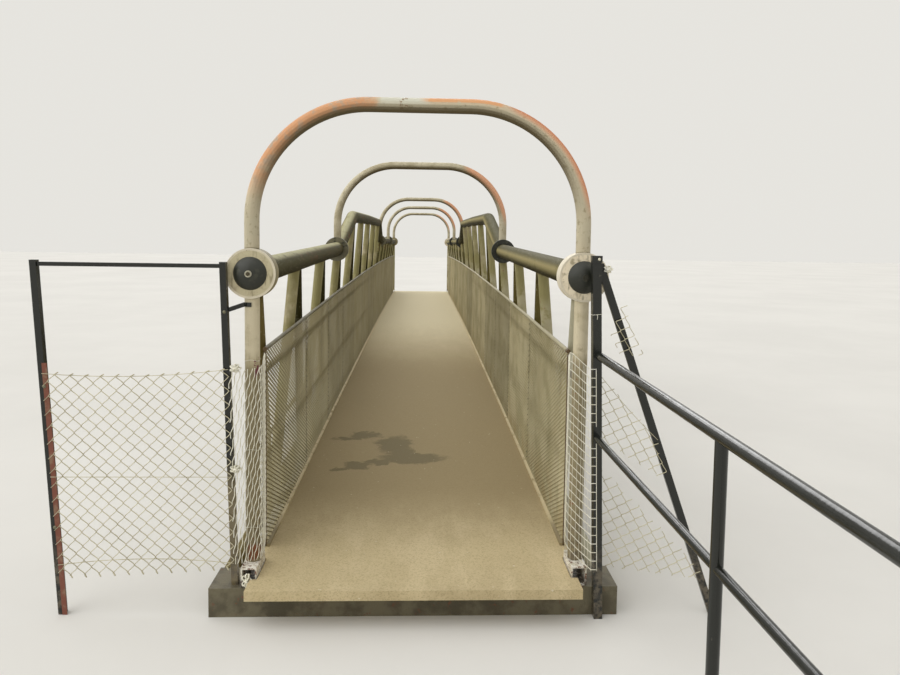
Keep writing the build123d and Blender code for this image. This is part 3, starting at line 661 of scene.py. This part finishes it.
def lacing(side, y):
    """Wire laced up a joint: y + wide sin t across it and x + deep cos t through it, while z climbs."""
    t = np.linspace(0, LACE_TURNS * 2 * np.pi, LACE_TURNS * 8 + 1)
    z = np.linspace(LACE_LOW, LACE_HIGH, t.size) + rise(y)
    return np.stack([side * (LACE_X + LACE_DEEP * np.cos(t)), y + LACE_WIDE * np.sin(t), z], axis=-1)


def end_bars():
    """Upright flat bars at the near ends of both parapets, broad side towards the near end."""
    z = np.linspace(DECK + 0.006, DECK + RAIL_Z - RAIL_R, 3)
    y = np.full(3, PANEL_START + END_BAR_THICK / 2)
    paths = np.stack([np.stack([np.full(3, side * MESH_X), y, z], -1) for side, _ in SIDES])
    return straps(paths, END_BAR_WIDE, END_BAR_THICK, np.array([1.0, 0, 0]))


for side, name in SIDES:
    paths = np.stack([lacing(side, y) for y in JOINTS])
    piece(f"panel_lacing_{name}", [wires(paths, LACE_WIRE)], TIE_WIRE)

piece("parapet_end_bars", [end_bars()], FINISHES["mesh_frame"], smooth=False)

# Chain link across the guard frame

# A wire's size is its radius, and a column of the fabric is half a diamond wide
LINK_COLUMNS = 24
LINK_ROWS = 14
LINK_WIDE = 0.0724
LINK_WIRE = 0.0022
LINK_THROUGH = 1.05
LINE_WIRE = 0.0019
END_WIRE = 0.0020
TWIST_UP = 0.022
TWIST_DOWN = 0.016
BENT_END = (-0.026, 0, -0.026)
MIDDLE_Z = 0.7
MIDDLE_LINE = 0.716
BAR_FACE = GUARD_Y - GUARD_HALF - PRIMER_THICK
FABRIC_Y = BAR_FACE - (1 + LINK_THROUGH) * LINK_WIRE


def lean_x(pair, z, top):
    """Across position of a leaning post, given where it stands at the ground and at its head."""
    return pair[0] + (pair[1] - pair[0]) * (z - GROUND) / (top - GROUND)


def bar_edge(z):
    """Inner edge of the primed bar."""
    return lean_x(GUARD_OUTER, z, GUARD_TOP) + GUARD_HALF - PRIMER_LAP + PRIMER_WIDTH


def turn_edge(z):
    """Where the fabric turns back past the inner post, which leans out by 22 mm a metre."""
    return -0.920 - 0.022 * (z - GROUND)


def top_wire(x):
    """Level of the top line wire, a shallow parabola that is lowest at x = -1.50."""
    return 1.226 + 0.12 * (x + 1.50) ** 2


def foot_wire(x):
    """Level of the bottom line wire, a shallow parabola that is highest at x = -1.36."""
    return 0.293 - 0.14 * (x + 1.36) ** 2


def fabric_foot(x):
    """Lower edge of the fabric, a straight line that is lower towards the outer post."""
    return 0.2255 + 0.0475 * (x + 1.45)


def weave(count, wide, wire, t, reach=1.0):
    """Chain-link wires of the radius r in diamonds w wide. Wire k swings to
    s = (k + 1/2) w/2 +- (reach w/4 + r/2) f(t) along the fabric and +- 1.05 r sin t through it, in opposite
    phase to its neighbours. f is the rounded triangle asin(0.97 cos t) / asin(0.97), so that the wires hook
    round each other at the knuckles."""
    k = np.arange(count)[:, None]
    flip = np.where(k % 2 == 0, 1.0, -1.0)
    swing = np.arcsin(0.97 * np.cos(t)) / np.arcsin(0.97)
    s = (k + 0.5) * wide / 2 + flip * (reach * wide / 4 + wire / 2) * swing
    return s, flip * LINK_THROUGH * wire * np.sin(t)


def between(share, z):
    """Across position at the level z, a share of the way from the primed bar to the fabric's turn."""
    return bar_edge(z) * (1 - share) + turn_edge(z) * share


def on_guard(share, through, v):
    """Point of the guard's fabric: share across from the primed bar to the turn, v up between its edges."""
    flat_x = between(share, MIDDLE_Z)
    z = fabric_foot(flat_x) * (1 - v) + top_wire(flat_x) * v
    return np.stack([between(share, z), FABRIC_Y + through, z], axis=-1)


def twists(feet, ways, length, wire):
    """Two wire ends twisted together from each foot p: p + way length t +- 1.1 r (cos, 0, sin)(5 pi t), for
    t from 0 to 1."""
    t = np.linspace(0, 1, 17)
    curl = np.stack([np.cos(5 * np.pi * t), np.zeros_like(t), np.sin(5 * np.pi * t)], axis=-1)
    run = feet[:, None] + ways[:, None] * (t * length)[:, None]
    return wires(np.concatenate([run + 1.1 * wire * curl, run - 1.1 * wire * curl]), wire)


def guard_fabric():
    """Wires of the weave laid on the guard, one turn to a row, from the fabric's foot to the top wire."""
    t = np.linspace(0, LINK_ROWS * 2 * np.pi, LINK_ROWS * 8 + 1)
    s, through = weave(LINK_COLUMNS, LINK_WIDE, LINK_WIRE, t)
    return wires(on_guard(s / (LINK_COLUMNS * LINK_WIDE / 2), through, t / t[-1]), LINK_WIRE, 6)


def guard_ends():
    """Twisted ends on both edges, at every second column, each leaning its own way."""
    share = (np.arange(LINK_COLUMNS // 2) * 2 + 1) / LINK_COLUMNS
    none = np.zeros_like(share)
    swing = np.cos(7 * share * LINK_COLUMNS)
    up = unit(np.stack([0.8 + 0.3 * swing, none - 0.2, 0.45 + 0.25 * swing], axis=-1))
    down = unit(np.stack([0.55 + 0.1 * swing, none - 0.1, none - 0.8], axis=-1))
    return [twists(on_guard(share, none, none + 1), up, TWIST_UP, END_WIRE),
            twists(on_guard(share, none, none), down, TWIST_DOWN, END_WIRE)]


def guard_lines():
    """Three line wires from the primed bar to the turn, and a wire end of each row bent over the bar."""
    share = np.linspace(-0.028, 1.0, 41)
    x = between(share, MIDDLE_Z)
    y = np.full_like(x, FABRIC_Y)
    lines = [np.stack([between(share, z), y, z], -1)
             for z in (top_wire(x), np.full_like(x, MIDDLE_LINE), foot_wire(x))]
    level = np.linspace(0, 1, LINK_ROWS, endpoint=False) + 0.5 / LINK_ROWS
    knot = on_guard(0 * level, 0 * level, level)
    ends = knot[:, None] + np.linspace(0, 1, 5)[None, :, None] * np.array(BENT_END)
    ends[..., Y] = BAR_FACE - LINK_WIRE
    return [wires(np.stack(lines), LINE_WIRE), wires(ends, END_WIRE)]


piece("guard_chain_link", [guard_fabric()] + guard_ends() + guard_lines(), FINISHES["chain_link"],
      ["guard_link"])

# The same fabric gathered round the near left leg, back to the parapet

GATHER_LINE = ((-0.9305, FABRIC_Y), (-0.880, -0.076), (-0.845, -0.054), (-0.801, -0.030), (-0.801, 0.038),
               (-MESH_X, 0.243))
GATHER_WIDE = 0.034
GATHER_TALL = 0.0715
GATHER_LEAN = 1 / 5
GATHER_WIRE = 0.0027
GATHER_REACH = 0.2
GATHER_DROP = 0.045
TURN_BLEND = 0.1
WIRE_SHORTEST = 0.03
STATIONS = 121
TIE_LEVELS = (1.300, 0.838, 0.432)
TIE_R = 0.0014


def on_line(line, s):
    """Points at the distances s along a line in plan, and the directions square to the line there."""
    line = np.asarray(line, float)
    steps = np.diff(line, axis=0)
    lengths = np.linalg.norm(steps, axis=1)
    marks = np.concatenate([[0], np.cumsum(lengths)])
    point = np.stack([np.interp(s, marks, line[:, 0]), np.interp(s, marks, line[:, 1])], axis=-1)
    which = np.clip(np.searchsorted(marks, s, side="right") - 1, 0, len(steps) - 1)
    way = unit(steps)[which]
    return point, np.stack([-way[..., 1], way[..., 0]], axis=-1)


def gathered_fabric():
    """Wires of the weave, pulled so tight that its columns are narrow and lean along the line as they rise,
    s = s_k + h / 5 at the height h above the lower edge, each kept between the two ends of the line. The
    upper edge drops towards the guard, where the first wires lean with the turn of its fabric."""
    length = np.linalg.norm(np.diff(GATHER_LINE, axis=0), axis=1).sum()
    drift = GATHER_LEAN * (WRAP_HIGH - WRAP_LOW)
    count = int((length + drift) / (GATHER_WIDE / 2))
    start = (np.arange(count) + 0.5) * GATHER_WIDE / 2 - drift
    low = WRAP_LOW + np.clip(-start / GATHER_LEAN, 0, None)
    edge = WRAP_HIGH - GATHER_DROP * (1 - np.clip(start + drift, 0, length) / length)
    high = np.minimum(edge, WRAP_LOW + (length - start) / GATHER_LEAN)
    keep = high - low > WIRE_SHORTEST
    z = low[:, None] + (high - low)[:, None] * np.linspace(0, 1, STATIONS)
    t = 2 * np.pi * (z - WRAP_LOW) / GATHER_TALL
    s, through = weave(count, GATHER_WIDE, GATHER_WIRE, t, GATHER_REACH)
    s = np.clip(s - drift + GATHER_LEAN * (z - WRAP_LOW), 0, length)
    plan, square = on_line(GATHER_LINE, s)
    plan = plan + square * through[..., None]
    plan[..., X] += (turn_edge(z) - GATHER_LINE[0][0]) * np.clip(1 - s / TURN_BLEND, 0, 1)
    return wires(np.concatenate([plan, z[..., None]], axis=-1)[keep], GATHER_WIRE)


def leg_ties():
    """Wire ties round the front of the near left leg, arcs about its axis that rise and fall by 4 mm."""
    turn = np.radians(np.linspace(185, 345, 15))
    x = -HEAD_X + (HOOP_R + 0.002) * np.cos(turn)
    y = (HOOP_R + 0.002) * np.sin(turn)
    rings = [np.stack([x, y, z + 0.004 * np.sin(3 * turn)], axis=-1) for z in TIE_LEVELS]
    return wires(np.stack(rings), TIE_R)


piece("wrap_chain_link", [gathered_fabric(), leg_ties()], BRIGHT_WIRE, ["wrap_left"])

# Welded mesh from the guard post round the near right leg to the parapet

RUNG_PITCH = 0.0448
RUNG_WIRE = 0.0021
RUNG_LIFT = (0, 0, 0.014, 0.054, 0.050, 0)
RUNG_STATIONS = 31
BAR_PITCH = 0.025
BAR_WIRE = 0.0011
BAR_FIRST = 0.03
BAR_LOW = WRAP_LOW - 0.008
BAR_STATIONS = 9
RAIL_GAP = (0.915, 1.000)
POST_FACE = END_POST_Y - 0.022
# Six corners in plan: two at the leaning post, by their distances left of its middle, and four upright ones
POST_CORNERS = (0.007, 0.037)
WRAP_CORNERS = ((0.845, -0.062), (0.801, -0.030), (0.801, 0.038), (MESH_X, 0.243))
LAST_CORNER = 5
WRAP_MIDDLE = 0.75


def on_wrap(u, z):
    """Point of the right wrap: straight from corner to corner in plan, with u counting the corners from 0
    at the guard post to 5 at the parapet."""
    post = lean_x(END_POST, z, END_POST_TOP)
    x = np.stack([post - a for a in POST_CORNERS] + [np.full_like(z, a) for a, _ in WRAP_CORNERS], axis=-1)
    y = np.array([POST_FACE - RUNG_WIRE] * 2 + [b for _, b in WRAP_CORNERS])
    i = np.clip(u.astype(int), 0, LAST_CORNER - 1)
    f = u - i
    across = np.take_along_axis(x, i, -1) * (1 - f) + np.take_along_axis(x, i + 1, -1) * f
    forward = y[i] * (1 - f) + y[i + 1] * f
    return np.stack([across, forward, np.broadcast_to(z[..., None], u.shape)], axis=-1)


def lift(u):
    """Height by which the mesh is pulled up where it passes the leg."""
    return np.interp(u, np.arange(LAST_CORNER + 1), RUNG_LIFT)


def weld_mesh():
    """Rungs, pulled up where they pass the leg, and upright wires at even distances in plan, both lines of
    one surface. The outermost upright and a rung or two are broken off where the lower handrail passes."""
    z = np.arange(WRAP_LOW, WRAP_HIGH, RUNG_PITCH)
    first = np.where((z > RAIL_GAP[0]) & (z < RAIL_GAP[1]), 1.0, 0.0)
    u = first[:, None] + (LAST_CORNER - first)[:, None] * np.linspace(0, 1, RUNG_STATIONS)
    rungs = on_wrap(u, z)
    rungs[..., Z] += lift(u)

    fine = np.linspace(0, LAST_CORNER, 101)
    plan = on_wrap(fine[None], np.array([WRAP_MIDDLE]))[0, :, :2]
    run = np.concatenate([[0], np.cumsum(np.linalg.norm(np.diff(plan, axis=0), axis=1))])
    u = np.append(np.interp(np.arange(BAR_FIRST, run[-1], BAR_PITCH), run, fine), LAST_CORNER - 0.01)
    levels = np.linspace(BAR_LOW, WRAP_HIGH, BAR_STATIONS)
    uprights = np.moveaxis(on_wrap(np.broadcast_to(u, (BAR_STATIONS, u.size)), levels), 0, 1)
    uprights[..., Z] += lift(u)[:, None] * np.linspace(0, 1, BAR_STATIONS)

    spans = [np.linspace(low, high, BAR_STATIONS)
             for low, high in ((BAR_LOW, RAIL_GAP[0]), (RAIL_GAP[1], WRAP_HIGH))]
    outer = np.stack([on_wrap(np.zeros((BAR_STATIONS, 1)), span)[:, 0] for span in spans])
    return [wires(rungs, RUNG_WIRE), wires(uprights, BAR_WIRE), wires(outer, RUNG_WIRE)]


piece("wrap_weld_mesh", weld_mesh(), BRIGHT_WIRE, ["wrap_right"])

# Torn chain link in the triangle between the guard post and its stay

TORN_Y = END_POST_Y + 0.012
TORN_TURN = radians(18)
TORN_WIRES = 27
TORN_START = (0.915, 1.290)
LINK_TALL = 0.0715
POST_EDGE = (-1, -0.031, -0.959)
STAY_LINE = (1, (STAY[0] - STAY[1]) / STAY_HEIGHT, STAY[0])
# Bulge and edges (a, b, c) of the foot, the flap and the strip, each kept where a x + b z <= c
TORN_PARTS = (
    (0.004, (POST_EDGE, STAY_LINE, (-0.148, -1, -0.410), (1.010, 1, 1.725))),
    (0.006, (POST_EDGE, STAY_LINE, (-0.621, -1, -1.504), (1.113, 1, 2.280))),
    (0.003, ((-1, -0.354, -1.500), (1, 0.354, 1.610), (0, -1, -1.36), (0, 1, 1.82))),
)
TORN_LINE = ((0.915, TORN_Y, 1.262), (1.225, TORN_Y, 0.925))
TORN_SAG = 0.012


def torn_fabric(bulge, edges):
    """Wires of the weave turned by 18 degrees in the plane of the stay. Wire k starts at s_k across and
    runs up, and is kept within the edges of its part. The slack sheet bulges by bulge sin(9 x + 5 z)
    through its plane."""
    up = np.array([sin(TORN_TURN), cos(TORN_TURN)])
    across = np.array([cos(TORN_TURN), -sin(TORN_TURN)])
    edges = np.array(edges)
    foot = TORN_START + ((np.arange(TORN_WIRES) + 0.5) * LINK_WIDE / 2)[:, None] * across
    climb = edges[:, :2] @ up
    bound = (edges[:, 2] - foot @ edges[:, :2].T) / climb
    low = np.where(climb < 0, bound, -np.inf).max(axis=1)
    high = np.where(climb > 0, bound, np.inf).min(axis=1)
    v = low[:, None] + (high - low)[:, None] * np.linspace(0, 1, STATIONS)
    s, through = weave(TORN_WIRES, LINK_WIDE, LINK_WIRE, 2 * np.pi * v / LINK_TALL)
    flat = TORN_START + s[..., None] * across + v[..., None] * up
    y = TORN_Y + through + bulge * np.sin(9 * flat[..., 0] + 5 * flat[..., 1])
    path = np.stack([flat[..., 0], y, flat[..., 1]], axis=-1)
    return wires(path[high - low > WIRE_SHORTEST], LINK_WIRE)


def torn_edge():
    """Line wire left along the torn edge, sagging in a parabola: by 4 sag f (1 - f) at the share f."""
    f = np.linspace(0, 1, 13)[:, None]
    start, end = np.array(TORN_LINE)
    path = start * (1 - f) + end * f
    path[:, Z] -= 4 * TORN_SAG * (f * (1 - f))[:, 0]
    return wires(path[None], LINE_WIRE)


piece("stay_chain_link", [torn_fabric(*part) for part in TORN_PARTS] + [torn_edge()],
      FINISHES["chain_link"])

# Tie wire knots, twisted ends and bolt heads

KNOT_WIRE = 0.0042
# Middles and half sizes of the knots
KNOTS = (((-0.908, -0.094, 1.272), (0.028, 0.013, 0.022)), ((-0.912, -0.088, 0.757), (0.028, 0.013, 0.020)),
         ((-0.850, -0.130, 0.195), (0.024, 0.013, 0.040)), ((0.945, -0.128, 1.790), (0.022, 0.006, 0.020)))
POST_TIE = (0.888, END_POST_Y, 1.566)
POST_TIE_HALF = 0.0232
LOOSE_FOOT = (-0.792, -0.012, 0.345)
LOOSE_WAY = (0.0, -0.15, 0.99)
LOOSE_LENGTH = 0.080
LOOSE_WIRE = 0.0026
GUARD_BOLTS = ((-1.846, BAR_FACE, 1.172), (-1.812, BAR_FACE, 0.456), (-0.964, GUARD_Y - GUARD_HALF, 1.552))
GUARD_BOLT_R = 0.009
POST_BOLT = (0.889, POST_FACE - 0.006, 1.840)
POST_BOLT_R = 0.008
BOLT_TALL = 0.006


def knots(rows, wire):
    """Crumpled wire round centres c: c + a r(t) d(t), with a the half sizes, r = 0.6 + 0.4 cos 11t, and the
    direction d turning as (cos 3t cos 7t, sin 7t, sin 3t cos 7t)."""
    t = np.linspace(0, 2 * np.pi, 241)
    turning = [np.cos(3 * t) * np.cos(7 * t), np.sin(7 * t), np.sin(3 * t) * np.cos(7 * t)]
    curl = (0.6 + 0.4 * np.cos(11 * t))[:, None] * np.stack(turning, axis=-1)
    return wires(np.stack([np.array(centre) + curl * size for centre, size in rows]), wire)


def post_tie():
    """Tie wire round the guard post, with its end hanging down the front. It rises a tenth to the right."""
    x, y, z = POST_TIE
    half = POST_TIE_HALF
    corners = [(x - half, y + half), (x - half, y - half), (x + half, y - half), (x + half, y + half)]
    ring = [(a, b, z + 0.1 * (a - x)) for a, b in corners]
    end = [(x, y - half, z), (x + 0.001, y - half - 0.001, z - 0.01), (x, y - half, z - 0.02),
           (x, y - half, z - 0.025)]
    return wires(np.array([ring, end]), TIE_R)


def studs(centres, radius, height):
    """Round bolt heads that face the near end: radius cos q at height sin q, a quarter of an ellipse."""
    q = np.linspace(0, np.pi / 2 * 0.96, 6)[None, :, None]
    a = np.linspace(0, 2 * np.pi, 12, endpoint=False)[None, None]
    c = np.asarray(centres, float)[:, None, None]
    ring = [c[..., 0] + radius * np.cos(q) * np.cos(a), c[..., 1] - height * np.sin(q) + 0 * a,
            c[..., 2] + radius * np.cos(q) * np.sin(a)]
    return tubes(np.stack(ring, axis=-1))


loose_end = twists(np.array([LOOSE_FOOT]), np.array([LOOSE_WAY]), LOOSE_LENGTH, LOOSE_WIRE)
piece("tie_knots", [knots(KNOTS, KNOT_WIRE), post_tie(), loose_end], BRIGHT_WIRE)
heads = [studs(GUARD_BOLTS, GUARD_BOLT_R, BOLT_TALL), studs((POST_BOLT,), POST_BOLT_R, BOLT_TALL)]
piece("guard_bolts", heads, FINISHES["bolt_zinc"])

# Strap from the inner post of the guard frame to the near left leg

STRAP_R = HOOP_R + 0.002
STRAP_WIDE = 0.022
STRAP_THICK = 0.004
STRAP_Z = 1.585
STRAP_START = (-0.976, GUARD_Y + GUARD_HALF + STRAP_THICK / 2, 1.551)


def guard_strap():
    """Flat bar from the back of the inner guard post, bent in an arc round the near left leg's front."""
    turn = np.radians(np.linspace(212, 278, 12))
    bend = [-HEAD_X + STRAP_R * np.cos(turn), STRAP_R * np.sin(turn), np.full_like(turn, STRAP_Z)]
    path = np.concatenate([[STRAP_START], np.stack(bend, -1)])
    return straps(path[None], STRAP_WIDE, STRAP_THICK, np.array([0, 0, 1.0]))


piece("guard_strap", [guard_strap()], FINISHES["guard_black"], smooth=False)

# Studio floor

FLOOR_HALF = 60


def pale_floor(tree, place):
    """Matt pale studio floor with the faintest cloud."""
    cloud = blotches(tree, place, 3.0, 0.3, 0.7)
    return {"Base Color": coats(tree, "dcdad5", ("e2e0db", cloud))}


mesh = bpy.data.meshes.new("studio_floor")
corners = [(-FLOOR_HALF, -FLOOR_HALF, 0), (FLOOR_HALF, -FLOOR_HALF, 0), (FLOOR_HALF, FLOOR_HALF, 0),
           (-FLOOR_HALF, FLOOR_HALF, 0)]
mesh.from_pydata(corners, [], [(0, 1, 2, 3)])
mesh.materials.append(finish("pale_studio_floor", pale_floor, Roughness=0.9))
floor = add("studio_floor", mesh)

# Sky and lamps

# Overcast sky, brighter to the camera and in reflections than the light that it gives
SKY_LIGHT = 0.56
SKY_SEEN = 0.86
world = bpy.data.worlds.new("studio")
bpy.context.scene.world = world
world.use_nodes = True
tree = world.node_tree
tree.nodes.clear()
rays = put(tree, "LightPath", {})
seen = put(tree, "Math", {0: rays.outputs["Is Camera Ray"], 1: rays.outputs["Is Glossy Ray"]},
           operation="MAXIMUM")
strength = put(tree, "MapRange", {"Value": seen.outputs[0], "To Min": SKY_LIGHT, "To Max": SKY_SEEN})
sky = put(tree, "Background", {"Color": colour("f6f4ee"), "Strength": strength.outputs[0]})
put(tree, "OutputWorld", {"Surface": sky.outputs[0]})


def lamp(name, elevation, azimuth, strength, spread):
    """Soft directional lamp from an elevation and an azimuth, 0 behind the camera and 90 from the left."""
    light = bpy.data.lights.new(name, "SUN")
    light.energy = strength
    light.angle = radians(spread)
    obj = add(name, light)
    obj.rotation_euler = (radians(90 - elevation), 0, radians(-azimuth))
    return obj


lamp("key", 44, 78, 2.0, 90)
lamp("fill", 60, -50, 0.3, 60)
# Lamp beyond the bridge that only shows as a sheen along the tubes
lamp("sheen", 34, 180, 1.2, 34).visible_diffuse = False

# Camera of the photograph

# Its place, its turns, its focal length in pixels, and the row where its axis meets the picture
EYE = (0.0126, -3.628, DECK + 1.746)
YAW = radians(2.34)
PITCH = radians(-4.01)
ROLL = radians(0.827)
FOCAL_PX = 708.5
CENTRE_Y = 285.44
PICTURE_WIDE = 900
PICTURE_TALL = 675
SENSOR = 36

ahead = np.array([sin(YAW) * cos(PITCH), cos(YAW) * cos(PITCH), sin(PITCH)])
right = np.array([cos(YAW), -sin(YAW), 0.0])
up = np.cross(right, ahead)
across = right * cos(ROLL) + up * sin(ROLL)
upward = -right * sin(ROLL) + up * cos(ROLL)
pose = np.eye(4)
pose[:3, :3] = np.stack([across, upward, -ahead], axis=1)
pose[:3, 3] = EYE
camera = add("camera", bpy.data.cameras.new("camera"))
camera.matrix_world = pose.T
camera.data.sensor_width = SENSOR
camera.data.lens = FOCAL_PX / PICTURE_WIDE * SENSOR
camera.data.shift_y = (CENTRE_Y - PICTURE_TALL / 2) / PICTURE_WIDE
camera.data.clip_end = 200
bpy.context.scene.camera = camera
bpy.context.scene.view_settings.view_transform = "Standard"
